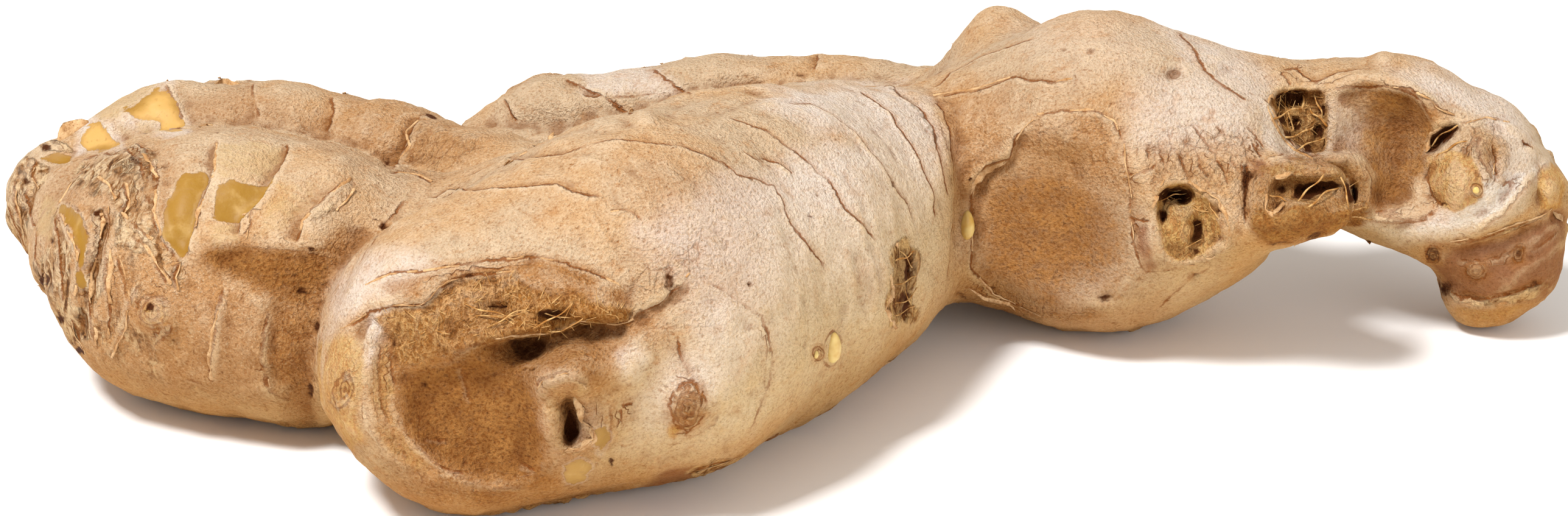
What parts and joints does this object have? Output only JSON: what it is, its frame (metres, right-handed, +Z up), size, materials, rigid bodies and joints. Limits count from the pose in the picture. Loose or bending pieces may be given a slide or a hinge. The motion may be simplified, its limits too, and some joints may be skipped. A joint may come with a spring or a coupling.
{
  "type": "ginger root",
  "caption": "Fresh ginger rhizome lying flat: thick branching fingers with ringed tan skin, round scars, buds, a torn stem stub and a hooked end finger.",
  "frame": {"origin": "under the middle of the bounding box, on the surface that the root lies on", "axes": "+X along the hand of fingers, from the fat left fingers to the hooked end; +Y from the front finger to the back finger; +Z up"},
  "size_m": [0.1802, 0.0954, 0.0385],
  "materials": {
    "ginger_skin": "dry papery tan skin with rings, fibrous brown scars and small patches of bare yellow flesh"
  },
  "bodies": {
    "root": {"ginger_root": "ginger_skin"}
  },
  "joints": []
}
